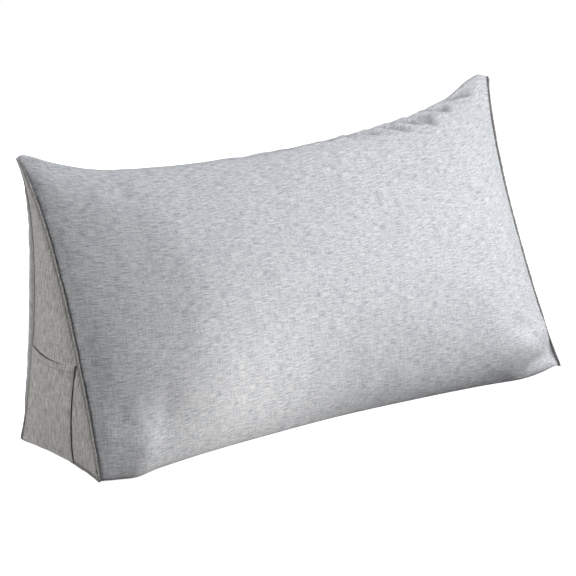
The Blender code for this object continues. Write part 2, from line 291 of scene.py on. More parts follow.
def offset_reach(side, point, offset):
    """The end's reach, plus what along X makes this offset square to its surface."""
    rises = []
    for step in ((0.0003, 0.0), (0.0, 0.0003)):
        apart = end_reach(side, point + step) - end_reach(side, point - np.array(step))
        rises.append(apart / 0.0006)
    slope = np.minimum(np.hypot(*rises), STEEPEST_END)
    return end_reach(side, point) + offset * np.hypot(1.0, slope)


def frame_shift():
    """From the wedge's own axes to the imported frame: the left tips and the pocket's front edge give it."""
    body_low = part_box("cushion_body")[0]
    pocket_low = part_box("pocket_left")[0]
    outline = section_points(np.zeros(400), np.linspace(0, GIRTH, 400))
    return np.array((body_low.x + end_reach(-1, outline).max(), pocket_low.y - POCKET_FRONT, 0.0))


SHIFT = frame_shift()

# ---- Helpers ----


def soft_noise(u, v, seed):
    """Smooth noise from -1 to 1 over a plane, its features about 1 across."""
    lattice = np.random.default_rng(seed).uniform(-1, 1, (128, 128))
    i, j = np.floor(u).astype(int), np.floor(v).astype(int)
    fu, fv = u - i, v - j
    fu, fv = fu * fu * (3 - 2 * fu), fv * fv * (3 - 2 * fv)

    def at(a, b):
        return lattice[(i + a) % 128, (j + b) % 128]

    low = at(0, 0) * (1 - fu) + at(1, 0) * fu
    high = at(0, 1) * (1 - fu) + at(1, 1) * fu
    return low * (1 - fv) + high * fv


def smoothstep(low, high, value):
    t = np.clip((value - low) / (high - low), 0, 1)
    return t * t * (3 - 2 * t)


def blurred(field, sigma_rows, sigma_columns):
    """A field on a grid of places by distances round, blurred; the second direction closes on itself."""

    def kernel(sigma):
        reach = max(int(3 * sigma), 1)
        weights = np.exp(-0.5 * (np.arange(-reach, reach + 1) / sigma) ** 2)
        return reach, weights / weights.sum()

    reach, weights = kernel(sigma_rows)
    padded = np.concatenate([field[reach:0:-1], field, field[-2 : -reach - 2 : -1]])
    field = sum(w * padded[k : k + len(field)] for k, w in enumerate(weights))
    reach, weights = kernel(sigma_columns)
    return sum(w * np.roll(field, k - reach, axis=1) for k, w in enumerate(weights))


def grid_normals(grid, wrap):
    """Unit normals of a grid of points, its second direction closing on itself where wrap is set."""
    along = np.gradient(grid, axis=0)
    if wrap:
        across = np.roll(grid, -1, axis=1) - np.roll(grid, 1, axis=1)
    else:
        across = np.gradient(grid, axis=1)
    normal = np.cross(along, across)
    return normal / np.maximum(np.linalg.norm(normal, axis=-1, keepdims=True), 1e-12)


def make_mesh(name, points, faces, face_uvs, painted_shade):
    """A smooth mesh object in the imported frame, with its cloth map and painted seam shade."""
    mesh = bpy.data.meshes.new(name)
    mesh.from_pydata((np.asarray(points) + SHIFT).tolist(), [], faces)
    layer = mesh.uv_layers.new(name=CLOTH_MAP)
    layer.data.foreach_set("uv", np.asarray([uv for face in face_uvs for uv in face], np.float32).ravel())
    attribute = mesh.attributes.new(PAINTED_SHADE_ATTRIBUTE, "FLOAT", "POINT")
    attribute.data.foreach_set("value", np.asarray(painted_shade, np.float32))
    mesh.shade_smooth()
    mesh.validate()
    obj = bpy.data.objects.new(name, mesh)
    bpy.context.scene.collection.objects.link(obj)
    return obj


class Shell:
    """Collects points, faces, map points and painted shades of one closed piece."""

    def __init__(self):
        self.points, self.faces, self.uvs, self.painted_shades = [], [], [], []

    def add(self, points, painted_shades):
        """Adds points and returns their numbers."""
        first = len(self.points)
        self.points.extend(np.asarray(points).reshape(-1, 3))
        self.painted_shades.extend(np.broadcast_to(painted_shades, (len(self.points) - first,)))
        return np.arange(first, len(self.points))

    def quads(self, rows, uvs, flip=False):
        """Faces between rows of point numbers, with a map point for each."""
        turn = (0, 3, 2, 1) if flip else (0, 1, 2, 3)
        for (a, b), (p, q) in zip(zip(rows, rows[1:]), zip(uvs, uvs[1:])):
            for i in range(len(a) - 1):
                corners = (a[i], a[i + 1], b[i + 1], b[i])
                marks = (p[i], p[i + 1], q[i + 1], q[i])
                self.faces.append(tuple(int(corners[k]) for k in turn))
                self.uvs.append([marks[k] for k in turn])

    def fan(self, ring, ring_uvs, hub, hub_uv, flip=False):
        for i in range(len(ring) - 1):
            corners = [(ring[i], ring_uvs[i]), (ring[i + 1], ring_uvs[i + 1]), (hub, hub_uv)]
            if flip:
                corners.reverse()
            self.faces.append(tuple(int(number) for number, _ in corners))
            self.uvs.append([mark for _, mark in corners])

    def build(self, name):
        obj = make_mesh(name, self.points, self.faces, self.uvs, self.painted_shades)
        turn_outwards(obj.data)
        return obj


def turn_outwards(mesh):
    """Turns every face round if the closed mesh is inside out."""
    mesh.calc_loop_triangles()
    points = np.array([v.co for v in mesh.vertices], float)
    corners = points[np.array([t.vertices for t in mesh.loop_triangles])]
    volume = np.einsum("ij,ij->i", corners[:, 0], np.cross(corners[:, 1], corners[:, 2])).sum()
    if volume < 0:
        mesh.flip_normals()


def closed_row(row):
    return np.concatenate([row, row[:1]])


# ---- Cloth material ----


def cloth_material(name, base, streak, thread, cloth):
    """Melange weave: long slub streaks along the map's first direction, fine cross yarns, a bump of warp and weft."""
    made = bpy.data.materials.new(name)
    made.use_nodes = True
    tree = made.node_tree
    nodes, links = tree.nodes, tree.links
    shader = nodes["Principled BSDF"]
    shader.inputs["Roughness"].default_value = 0.92
    shader.inputs["Specular IOR Level"].default_value = 0.22
    shader.inputs["Sheen Weight"].default_value = 0.18
    shader.inputs["Sheen Roughness"].default_value = 0.45
    uv = nodes.new("ShaderNodeUVMap")
    uv.uv_map = CLOTH_MAP

    def noise(u_scale, v_scale, detail, roughness, offset):
        place = nodes.new("ShaderNodeMapping")
        place.inputs["Scale"].default_value = (u_scale, v_scale, 1.0)
        place.inputs["Location"].default_value = (offset, offset * 1.7, 0.0)
        links.new(uv.outputs["UV"], place.inputs["Vector"])
        made_noise = nodes.new("ShaderNodeTexNoise")
        made_noise.noise_dimensions = "2D"
        made_noise.inputs["Scale"].default_value = 1.0
        made_noise.inputs["Detail"].default_value = detail
        made_noise.inputs["Roughness"].default_value = roughness
        links.new(place.outputs["Vector"], made_noise.inputs["Vector"])
        return made_noise.outputs["Fac"]

    def remap(value, low, high, to_low=0.0, to_high=1.0, smooth=True):
        made_map = nodes.new("ShaderNodeMapRange")
        made_map.interpolation_type = "SMOOTHSTEP" if smooth else "LINEAR"
        made_map.inputs["From Min"].default_value = low
        made_map.inputs["From Max"].default_value = high
        made_map.inputs["To Min"].default_value = to_low
        made_map.inputs["To Max"].default_value = to_high
        links.new(value, made_map.inputs["Value"])
        return made_map.outputs["Result"]

    def math_node(operation, first, second):
        made_math = nodes.new("ShaderNodeMath")
        made_math.operation = operation
        for socket, value in zip(made_math.inputs, (first, second)):
            if isinstance(value, (int, float)):
                socket.default_value = value
            else:
                links.new(value, socket)
        return made_math.outputs["Value"]

    def mix(factor, first, second):
        made_mix = nodes.new("ShaderNodeMix")
        made_mix.data_type = "RGBA"
        for socket, value in ((made_mix.inputs[0], factor), (made_mix.inputs[6], first), (made_mix.inputs[7], second)):
            if isinstance(value, tuple):
                socket.default_value = value
            else:
                links.new(value, socket)
        return made_mix.outputs[2]

    along, thin = cloth.slub_density, cloth.slub_density * cloth.slub_slimness
    slub = noise(along, thin, 2.0, 0.5, 3.1)
    fine_slub = noise(along * 2.1, thin * 1.7, 2.0, 0.6, 11.7)
    cross = noise(thin * 1.2, along * 1.7, 2.0, 0.6, 23.9)
    speckle = noise(700.0, 700.0, 2.0, 0.6, 41.3)
    cloud = noise(16.0, 16.0, 3.0, 0.5, 57.1)

    dark_streaks = remap(slub, 0.46, 0.66)
    dark_fine = remap(fine_slub, 0.53, 0.63)
    dark_cross = remap(cross, 0.50, 0.62)
    colour = mix(math_node("MULTIPLY", dark_streaks, cloth.streak_strength * 0.6), (*base, 1.0), (*streak, 1.0))
    colour = mix(math_node("MULTIPLY", dark_fine, cloth.streak_strength), colour, (*streak, 1.0))
    colour = mix(math_node("MULTIPLY", dark_cross, cloth.streak_strength * 0.8), colour, (*thread, 1.0))
    pale = remap(fine_slub, 0.44, 0.34)
    colour = mix(math_node("MULTIPLY", pale, 0.55), colour, tuple(min(c * 1.18, 0.92) for c in base) + (1.0,))

    value = nodes.new("ShaderNodeHueSaturation")
    grain = remap(speckle, 0.25, 0.75, 1 - cloth.grain, 1 + cloth.grain, False)
    clouds = remap(cloud, 0.25, 0.75, 1 - cloth.cloud, 1 + cloth.cloud, False)
    # Painted shade: the cloth is darkened by the mesh's painted-shade attribute in seam creases, gather valleys and
    # along the pocket's edges and stitches.
    painted_shade = nodes.new("ShaderNodeAttribute")
    painted_shade.attribute_type = "GEOMETRY"
    painted_shade.attribute_name = PAINTED_SHADE_ATTRIBUTE
    painted_darkening = remap(painted_shade.outputs["Fac"], 0.0, 1.0, 1.0, 1 - cloth.painted_shade_strength, False)
    strength = math_node("MULTIPLY", math_node("MULTIPLY", grain, clouds), painted_darkening)
    links.new(colour, value.inputs["Color"])
    links.new(strength, value.inputs["Value"])
    links.new(value.outputs["Color"], shader.inputs["Base Color"])

    def weave(direction, pitch):
        wave = nodes.new("ShaderNodeTexWave")
        wave.wave_type = "BANDS"
        wave.bands_direction = direction
        wave.wave_profile = "SIN"
        wave.inputs["Scale"].default_value = math.pi / (10 * pitch)
        wave.inputs["Distortion"].default_value = 1.2
        wave.inputs["Detail"].default_value = 1.0
        wave.inputs["Detail Scale"].default_value = 1.5
        links.new(uv.outputs["UV"], wave.inputs["Vector"])
        return wave.outputs["Fac"]

    threads = math_node("ADD", weave("X", cloth.weave_pitch), weave("Y", cloth.weave_pitch))
    relief = math_node("ADD", math_node("MULTIPLY", threads, 0.4), math_node("MULTIPLY", slub, 1.4))
    relief = math_node("ADD", relief, math_node("MULTIPLY", cross, 0.9))
    bump = nodes.new("ShaderNodeBump")
    bump.inputs["Strength"].default_value = cloth.relief
    bump.inputs["Distance"].default_value = 0.0006
    links.new(relief, bump.inputs["Height"])
    links.new(bump.outputs["Normal"], shader.inputs["Normal"])
    return made


def plain_material(name, colour, roughness):
    made = bpy.data.materials.new(name)
    made.use_nodes = True
    shader = made.node_tree.nodes["Principled BSDF"]
    shader.inputs["Base Color"].default_value = (*colour, 1.0)
    shader.inputs["Roughness"].default_value = roughness
    return made


# ---- Settings ----


def colour_setting(name, description, default):
    return FloatVectorProperty(
        name=name, description=description, default=default, size=3, subtype="COLOR", min=0.0, max=1.0
    )


def length_setting(name, description, default):
    return FloatProperty(name=name, description=description, default=default, min=0.0, unit="LENGTH")


class PillowStuffing(bpy.types.PropertyGroup):
    pressure: FloatProperty(name="Pressure", description="How hard the filling presses out", default=4.0, min=0.0)
    spare_cloth: FloatProperty(
        name="Spare cloth", description="How much larger the cover is cut than its filling", default=0.035, min=0.0
    )
    frames: IntProperty(name="Frames", description="How long the cover settles", default=20, min=1)
    sim_step: length_setting("Settling mesh", "Mesh size while the cover settles", 0.008)
    mesh_step: length_setting("Cover mesh", "Mesh size of the finished cover", 0.0042)
    wrinkle_cap: length_setting("Wrinkle cap", "The most that settling may move the cover", 0.004)
    lump: length_setting("Lumps", "Height of the filling's soft lumps", 0.0011)
    gather: length_setting("Seam gathers", "Depth of the gathers along the end seams", 0.0013)
    fold_depth: FloatProperty(
        name="Folds", description="How deep the top's gathers are against their listed depths", default=2.4, min=0.0
    )


class PillowCloth(bpy.types.PropertyGroup):
    front: colour_setting("Front cloth", "Ground colour of the cover", (0.720, 0.730, 0.745))
    front_streak: colour_setting("Front streaks", "Colour of the cover's dark slubs", (0.230, 0.265, 0.330))
    # The gussets are the front's melange; their warmer ground colour is painted warm bounce light.
    gusset: colour_setting("Gusset cloth", "Ground colour of the gussets", (0.720, 0.705, 0.690))
    gusset_streak: colour_setting("Gusset streaks", "Colour of the gussets' dark slubs", (0.110, 0.115, 0.120))
    slub_density: FloatProperty(name="Slubs", description="Slub streaks in each metre", default=30.0, min=1.0)
    slub_slimness: FloatProperty(
        name="Slub slimness", description="How many times longer than thick a slub is", default=19.0, min=1.0
    )
    streak_strength: FloatProperty(
        name="Streak strength", description="How dark the slubs are", default=0.56, min=0.0, max=1.0, subtype="FACTOR"
    )
    grain: FloatProperty(name="Grain", description="Unevenness from thread to thread", default=0.16, min=0.0, max=1.0)
    cloud: FloatProperty(name="Clouding", description="Slow unevenness of the dye", default=0.03, min=0.0, max=1.0)
    # Strength of the painted shade in the cloth's creases.
    painted_shade_strength: FloatProperty(
        name="Seam darkening", description="How much darker the cloth is in its creases", default=0.68, min=0.0, max=1.0
    )
    weave_pitch: length_setting("Weave pitch", "Distance between threads", 0.0011)
    relief: FloatProperty(name="Weave relief", description="Strength of the weave's bump", default=0.55, min=0.0)


class PillowStitching(bpy.types.PropertyGroup):
    pitch: length_setting("Pitch", "Distance between stitches", 0.0038)
    length: length_setting("Length", "Length of one stitch", 0.0030)
    thickness: length_setting("Thickness", "Thickness of the sewing thread", 0.0006)
    thread: colour_setting("Thread", "Colour of the sewing thread", (0.560, 0.560, 0.550))


class PillowStage(bpy.types.PropertyGroup):
    light_power: FloatProperty(name="Light", description="Brightness of the studio lights", default=1.0, min=0.0)
    ambient: FloatProperty(name="Ambient", description="Strength of the light from all round", default=0.03, min=0.0)
    floor: colour_setting("Floor", "Colour of the floor", (0.90, 0.90, 0.90))
    camera_azimuth: FloatProperty(name="Camera azimuth", description="In degrees, 0 looks along +Y", default=-38.070)
    camera_elevation: FloatProperty(name="Camera elevation", description="In degrees", default=18.210)
    camera_roll: FloatProperty(name="Camera roll", description="In degrees", default=1.497)
    camera_distance: length_setting("Camera distance", "From its target", 5.1298)
    lens: FloatProperty(name="Lens", description="Focal length in millimetres", default=187.5, min=1.0)


class BackrestPillow(bpy.types.PropertyGroup):
    stuffing: PointerProperty(type=PillowStuffing)
    cloth: PointerProperty(type=PillowCloth)
    stitching: PointerProperty(type=PillowStitching)
    stage: PointerProperty(type=PillowStage)


def cloth_named(name):
    """One of the three cloths, made when it is first asked for."""
    known = bpy.data.materials.get(name)
    if known:
        return known
    cloth = bpy.context.scene.backrest_pillow.cloth
    front, gusset = tuple(cloth.front), tuple(cloth.gusset)
    if name == "grey_melange_front":
        return cloth_material(name, front, tuple(cloth.front_streak), (0.30, 0.33, 0.38), cloth)
    # the gussets' warmer cross threads are painted warm bounce light too
    return cloth_material(name, gusset, tuple(cloth.gusset_streak), (0.34, 0.31, 0.30), cloth)


# ---- The cover ----


def places_along(step):
    """Places from the left end to the right, closer together by the seams."""
    near = np.linspace(0, 0.028, 13)[:-1]
    middle = np.linspace(0.028, 0.972, int(0.944 * LENGTH / step))
    return np.concatenate([near, middle, 1 - near[::-1]])


def girths_round(step):
    return np.linspace(0, GIRTH, int(GIRTH / step), endpoint=False)


def smooth_cover(places, girths):
    """Grid of points of the smooth stuffed cover."""
    section = section_points(places[:, None], girths[None, :])
    outline = section_points(np.zeros(len(girths)), girths)
    left, right = -end_reach(-1, outline), end_reach(1, outline)
    x = left + (right - left) * places[:, None]
    height = np.where(section[..., 1] > PRESSED_FLAT, section[..., 1], 0.0)
    return np.stack((x, section[..., 0], height), -1)


def end_rings(outline, count):
    centre = outline.mean(0)
    return [centre + (outline - centre) * (1 - k / count) for k in range(1, count)], centre


def cover_shell(grid, girths, painted_shades):
    """A closed mesh of the cover's grid and its two hidden ends, in cloth map metres; the hidden ends carry full
    painted shade.
    """
    shell = Shell()
    numbers = [closed_row(shell.add(row, painted_shade)) for row, painted_shade in zip(grid, painted_shades)]
    around = np.append(girths, GIRTH)
    middle = grid[:, len(girths) // 4, 0]
    marks = [[(x, v) for v in around] for x in middle]
    shell.quads(numbers, marks)
    outline = section_points(np.zeros(len(girths)), girths)
    for side, row in ((-1, numbers[0]), (1, numbers[-1])):
        rings, centre = end_rings(outline, 5)
        rows = [row]
        for ring in rings:
            x = side * end_reach(side, ring)
            points = np.column_stack((x, ring[:, 0], ring[:, 1]))
            rows.append(closed_row(shell.add(points, 1.0)))
        ring_marks = [[(0.0, v) for v in around]] * len(rows)
        shell.quads(rows, ring_marks, flip=side < 0)
        hub_x = side * end_reach(side, centre)
        hub = shell.add([(hub_x, centre[0], centre[1])], 1.0)[0]
        shell.fan(rows[-1], ring_marks[0], hub, (0.0, 0.0), flip=side < 0)
    return shell


def settle(stuffing):
    """How far the cover's cloth moves when it is cut a little large and blown up by its filling, on a coarse grid."""
    places, girths = places_along(stuffing.sim_step), girths_round(stuffing.sim_step)
    grid = smooth_cover(places, girths)
    shell = cover_shell(grid, girths, np.zeros((len(places), len(girths))))
    obj = shell.build("settling_cover")
    count = len(places) * len(girths)
    held = obj.vertex_groups.new(name="held")
    loose = obj.vertex_groups.new(name="loose")
    place_of = np.repeat(places, len(girths))
    girth_of = np.tile(girths, len(places))
    near_end = np.minimum(place_of, 1 - place_of) * LENGTH
    spare = 0.35 + 0.65 * np.exp(-near_end / 0.05)
    spare += 0.5 * np.exp(-(((girth_of - FRONT_SIDE + 0.02) / 0.06) ** 2)) * smoothstep(0.5, 0.8, place_of)
    low = grid.reshape(-1, 3)[:, 2] < 0.0005
    for i in range(len(obj.data.vertices)):
        if i >= count or near_end[i] < 0.004 or low[i]:
            held.add([i], 1.0, "REPLACE")
        if i < count:
            loose.add([i], float(min(spare[i], 1.0)), "REPLACE")
    cloth = obj.modifiers.new("Filling", "CLOTH")
    settings = cloth.settings
    settings.quality = 5
    settings.mass = 0.25
    settings.tension_stiffness = 14
    settings.compression_stiffness = 14
    settings.shear_stiffness = 6
    settings.bending_stiffness = 0.35
    settings.air_damping = 1.5
    settings.use_pressure = True
    settings.uniform_pressure_force = stuffing.pressure
    settings.vertex_group_mass = "held"
    settings.vertex_group_shrink = "loose"
    settings.shrink_min = 0.0
    settings.shrink_max = -stuffing.spare_cloth
    settings.effector_weights.gravity = 0.0
    cloth.collision_settings.use_collision = False
    cloth.point_cache.frame_start = 1
    cloth.point_cache.frame_end = stuffing.frames
    scene = bpy.context.scene
    for number in range(1, stuffing.frames + 1):
        scene.frame_set(number)
    evaluated = obj.evaluated_get(bpy.context.evaluated_depsgraph_get())
    points = np.zeros(len(obj.data.vertices) * 3, np.float32)
    evaluated.to_mesh().vertices.foreach_get("co", points)
    evaluated.to_mesh_clear()
    settled = points.reshape(-1, 3)[:count].reshape(grid.shape) - SHIFT
    bpy.data.objects.remove(obj, do_unlink=True)
    scene.frame_set(1)
    return places, girths, settled - grid


def wrinkles(stuffing, places, girths):
    """The settled cloth's wrinkles without its slow swelling, on a finer grid."""
    coarse_places, coarse_girths, moved = settle(stuffing)
    rows = 0.030 / stuffing.sim_step
    moved = moved - blurred(moved, rows, rows)
    size = np.linalg.norm(moved, axis=-1, keepdims=True)
    moved *= np.minimum(size, stuffing.wrinkle_cap) / np.maximum(size, 1e-9)
    at = np.interp(places, coarse_places, np.arange(len(coarse_places)))
    low = np.minimum(at.astype(int), len(coarse_places) - 2)
    share = (at - low)[:, None, None]
    along = moved[low] * (1 - share) + moved[low + 1] * share
    closed = np.append(coarse_girths, GIRTH)
    at = np.interp(girths, closed, np.arange(len(closed)))
    low = at.astype(int) % len(coarse_girths)
    share = (at - at.astype(int))[None, :, None]
    fine = along[:, low] * (1 - share) + along[:, (low + 1) % len(coarse_girths)] * share
    return blurred(fine, 1.2, 1.2)


def folds(stuffing, places, girths):
    """Inward depth of the gathers, hollows, lumps and seam gathers over the cover's grid, and the painted shade in the
    gathers' valleys.
    """
    place, girth = np.broadcast_arrays(places[:, None], girths[None, :])
    depth, painted_creases = np.zeros(place.shape), np.zeros(place.shape)
    for number, pucker in enumerate(PUCKERS):
        along = (place - pucker.place) * LENGTH / pucker.run
        wander = 0.0015 * soft_noise(along * 2.2 + number, girth * 0, 5)
        down = (FRONT_SIDE - girth) - along * pucker.drop + wander
        across = down * pucker.run / math.hypot(pucker.run, pucker.drop)
        fade = np.exp(-((2 * along - 1) ** 4))
        valley = np.exp(-((2 * across / pucker.width) ** 2))
        crest = np.exp(-((2 * (across - 0.8 * pucker.width) / pucker.width) ** 2))
        depth += stuffing.fold_depth * pucker.depth * fade * (valley - 0.4 * crest)
        # painted shade in this gather's valley
        painted_creases += PAINTED_CREASE_SHADE * min(pucker.depth / 0.004, 1.0) * fade * valley**2
    for hollow in HOLLOWS:
        up = girth - hollow.up
        side = (place - hollow.place) * LENGTH - hollow.lean * up
        depth += hollow.depth * np.exp(-((side / hollow.width) ** 2) - (up / hollow.height) ** 2)
    standing = smoothstep(0.0, 0.03, girth) * smoothstep(0.0, 0.03, FRONT_SIDE + BACK_SIDE - girth)
    x, v = place * LENGTH, girth
    lump = soft_noise(x / 0.075, v / 0.065, 11) + 0.45 * soft_noise(x / 0.031, v / 0.034, 12)
    lump += 0.16 * soft_noise(x / 0.013, v / 0.015, 13)
    near_end = np.minimum(place, 1 - place) * LENGTH
    depth += stuffing.lump * lump * standing * smoothstep(0.0, 0.05, near_end)
    pull = soft_noise(v / 0.010, x / 0.040, 21) + 0.6 * soft_noise(v / 0.023, x / 0.060, 22)
    by_seam = smoothstep(0.001, 0.007, near_end) * np.exp(-near_end / 0.016)
    depth += stuffing.gather * pull * by_seam * standing
    return depth, painted_creases


def painted_seam_shade(places, girths):
    """Painted shade in the creases beside the cover's end seams."""
    near_end = np.minimum(places, 1 - places) * LENGTH
    line = np.exp(-((near_end / 0.0042) ** 2))
    uneven = 0.85 + 0.15 * soft_noise(girths / 0.02, girths * 0, 31)
    return np.clip(line[:, None] * uneven[None, :], 0, 1)


class PILLOW_OT_cover(bpy.types.Operator):
    """Make the stuffed cover: front, rounded top, back and base in one wrap"""

    bl_idname = "pillow.cover"
    bl_label = "Stuffed Cover"

    def execute(self, context):
        stuffing = context.scene.backrest_pillow.stuffing
        places, girths = places_along(stuffing.mesh_step), girths_round(stuffing.mesh_step)
        grid = smooth_cover(places, girths)
        grid = grid + wrinkles(stuffing, places, girths)
        depth, painted_creases = folds(stuffing, places, girths)
        grid -= grid_normals(grid, True) * depth[..., None] * outward_sign(grid)
        flat = smooth_cover(places, girths)[..., 2] < 1e-6
        grid[..., 2] = np.where(flat, 0.0, np.maximum(grid[..., 2], 0.0))
        ends = smooth_cover(np.array((0.0, 1.0)), girths)
        grid[0], grid[-1] = ends[0], ends[1]
        # painted shade by the end seams and in the gathers' valleys
        painted_shades = np.clip(painted_seam_shade(places, girths) + painted_creases, 0, 1)
        obj = cover_shell(grid, girths, painted_shades).build("cover")
        obj.data.materials.append(cloth_named("grey_melange_front"))
        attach(obj, BODY)
        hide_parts("cushion_body")
        return {"FINISHED"}


def outward_sign(grid):
    """1 where the grid's normals point out of the cover, else -1."""
    middle = grid[len(grid) // 2]
    normal = grid_normals(grid, True)[len(grid) // 2]
    return 1.0 if ((middle - middle.mean(0)) * normal).sum() > 0 else -1.0


# ---- The gussets ----


def gusset_shell(side, step):
    """A gusset's sheet with its seam ridge, and its puff and pulls between the seams."""
    girths = girths_round(step)
    outline = section_points(np.zeros(len(girths)), girths)
    along = np.roll(outline, -1, axis=0) - np.roll(outline, 1, axis=0)
    out = np.stack((-along[:, 1], along[:, 0]), -1)
    out /= np.linalg.norm(out, axis=-1, keepdims=True)
    around = np.append(girths, GIRTH)
    wobble = 1 + 0.16 * soft_noise(girths / 0.011, girths * 0 + side, 41)
    slow = 0.0005 * soft_noise(girths / 0.035, girths * 0 + side, 42)
    shell = Shell()
    rows, marks = [], []

    def add_ring(points, off, painted_shade):
        x = side * offset_reach(side, np.clip(points, (-1, 0), (1, 1)), off)
        flat = np.column_stack((x, points[:, 0], np.maximum(points[:, 1], 0.0009)))
        rows.append(closed_row(shell.add(flat, painted_shade)))
        uv = closed_row(np.stack((points[:, 1] + 0.37 * side, points[:, 0]), -1))
        marks.append([tuple(mark) for mark in uv])

    centre = outline.mean(0)
    radius = np.linalg.norm(outline - centre, axis=-1)
    steps = np.linspace(0, 1, 34)[1:]

    def inner_ring(share, off, painted_shade):
        start = outline - out * 0.0060
        add_ring(start + (centre - start) * share, off, painted_shade)

    for share in steps[-2::-5]:
        inner_ring(share, SHEET_INSIDE, 0.0)
    for point in RIDGE_PROFILE:
        lift = np.where(point.out > 0, point.out * wobble + slow, point.out)[:, None]
        base_line = outline + out * lift
        x_from = outline if point.out > 0 else base_line
        # Painted shade on the seam ridge: darkest in the crease just inside its crest, and a steady shade on its
        # underside next to the filling.
        painted_ridge_shade = math.exp(-(((point.out + 0.0012) / 0.0022) ** 2)) if point.off > 0.0010 else 0.6
        x = side * offset_reach(side, x_from, point.off)
        flat = np.column_stack((x, base_line[:, 0], np.maximum(base_line[:, 1], 0.0009)))
        rows.append(closed_row(shell.add(flat, painted_ridge_shade)))
        uv = closed_row(np.stack((base_line[:, 1] + 0.37 * side, base_line[:, 0]), -1))
        marks.append([tuple(mark) for mark in uv])
    for share in steps[:-1]:
        start = outline - out * 0.0060
        ring = start + (centre - start) * share
        away = radius * share
        pull = soft_noise(girths / 0.016, away / 0.05, 43) * np.exp(-away / 0.020)
        lump = soft_noise(ring[:, 0] / 0.05, ring[:, 1] / 0.07, 44) * (1 - np.exp(-away / 0.03))
        off = SHEET_OUTSIDE + 0.0006 * pull + 0.0008 * lump * smoothstep(0.0, 0.02, away)
        # painted shade beside the seam, fading out into the gusset
        add_ring(ring, off, 0.35 * np.exp(-away / 0.006))
    shell.quads(rows, marks)
    hubs = []
    for off in (SHEET_INSIDE, SHEET_OUTSIDE):
        x = side * offset_reach(side, centre, off)
        hubs.append(shell.add([(x, centre[0], centre[1])], 0.0)[0])
    shell.fan(rows[0], marks[0], hubs[0], tuple(centre[::-1]), flip=True)
    shell.fan(rows[-1], marks[-1], hubs[1], tuple(centre[::-1]))
    return shell


class PILLOW_OT_gussets(bpy.types.Operator):
    """Make the two triangular end gussets with their seam ridges"""

    bl_idname = "pillow.gussets"
    bl_label = "End Gussets"

    def execute(self, context):
        step = context.scene.backrest_pillow.stuffing.mesh_step
        for side, name, node in ((-1, "end_gusset_left", "gusset_left"), (1, "end_gusset_right", "gusset_right")):
            obj = gusset_shell(side, step).build(name)
            obj.data.materials.append(cloth_named("grey_melange_gusset"))
            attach(obj, BODY)
            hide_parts(node)
        return {"FINISHED"}


# ---- The pocket ----


def back_seam_depth(height):
    """Depth of the left end's back seam at heights."""
    girth = FRONT_SIDE + BACK_SIDE * (1 - height / TIP_HEIGHT)
    return section_points(np.zeros_like(girth), girth)[..., 0]


def pocket_points(across, up, extra):
    """Points of the pocket's cloth at shares across it, from its front edge to the back seam, and up it."""
    across, up = np.broadcast_arrays(across, up)
    mouth = POCKET_MOUTH - POCKET_MOUTH_SAG * np.sin(np.pi * across) ** 0.9
    height = POCKET_FOOT + (mouth - POCKET_FOOT) * up
    depth = POCKET_FRONT + (back_seam_depth(height) - POCKET_INSET - POCKET_FRONT) * across
    gape = POCKET_GAPE * np.sin(np.pi * across) * up**6
    slack = 0.0006 * soft_noise(across * 3.1, up * 4.3, 51) * np.sin(np.pi * across) * np.sin(np.pi * up)
    reach = offset_reach(-1, np.stack((depth, height), -1), POCKET_OFF + gape + slack + extra)
    return np.stack((-reach, depth, height), -1)


def pocket_shell():
    shell = Shell()
    across = np.linspace(0, 1, 49)
    tall = POCKET_MOUTH - POCKET_FOOT
    hem = 1 - POCKET_HEM / tall
    up = np.concatenate([np.linspace(0, hem - 0.02, 40), np.linspace(hem - 0.01, 1, 16)])
    grid_across, grid_up = np.meshgrid(across, up)
    thicker = POCKET_HEM_THICKER * smoothstep(hem - 0.008, hem + 0.008, grid_up)
    edge = np.minimum(grid_across, 1 - grid_across) * POCKET_WIDTH
    mouth_roll = 0.0007 * (1 - smoothstep(0.0, 0.012, 1 - grid_up))
    front_roll = 0.0008 * (1 - smoothstep(0.0, 0.014, grid_across))
    stitch = 0.0007 * np.exp(-(((grid_across * POCKET_WIDTH - POCKET_STITCH_INSET) / 0.0012) ** 2))
    hem_stitch = 0.0007 * np.exp(-(((grid_up - hem - 0.012) * tall / 0.0012) ** 2))
    outer_extra = POCKET_CLOTH + thicker - mouth_roll - front_roll - stitch - hem_stitch
    outer = pocket_points(grid_across, grid_up, outer_extra)
    inner = pocket_points(grid_across, grid_up, mouth_roll * 0.5)
    # Painted shade: a shadow line along the pocket's front and back edges, and shade in the grooves of its two stitch
    # lines.
    painted_shade = np.clip(0.4 * np.exp(-((edge / 0.0012) ** 2)) + 500 * stitch + 500 * hem_stitch, 0, 1)
    mark_grid = [[(p[2] - 0.11, p[1] + 0.19) for p in row] for row in outer]
    layers = []
    for layer, points in enumerate((inner, outer)):
        rows = [shell.add(row, line) for row, line in zip(points, painted_shade)]
        shell.quads(rows, mark_grid, flip=layer == 0)
        layers.append(rows)
    inside, outside = layers

    def border(first, second, marks):
        shell.quads([first, second], [marks, marks])

    border(outside[0], inside[0], mark_grid[0])
    border(inside[-1], outside[-1], mark_grid[-1])
    left_marks = [row[0] for row in mark_grid]
    right_marks = [row[-1] for row in mark_grid]
    border([row[0] for row in inside], [row[0] for row in outside], left_marks)
    border([row[-1] for row in outside], [row[-1] for row in inside], right_marks)
    return shell


class PILLOW_OT_pocket(bpy.types.Operator):
    """Make the patch pocket on the left gusset, with its hemmed mouth"""

    bl_idname = "pillow.pocket"
    bl_label = "Patch Pocket"

    def execute(self, context):
        obj = pocket_shell().build("patch_pocket")
        obj.data.materials.append(cloth_named("grey_melange_gusset"))
        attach(obj, BODY)
        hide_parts("pocket_left")
        return {"FINISHED"}


# ---- The stitching, made by Geometry Nodes along its lines ----


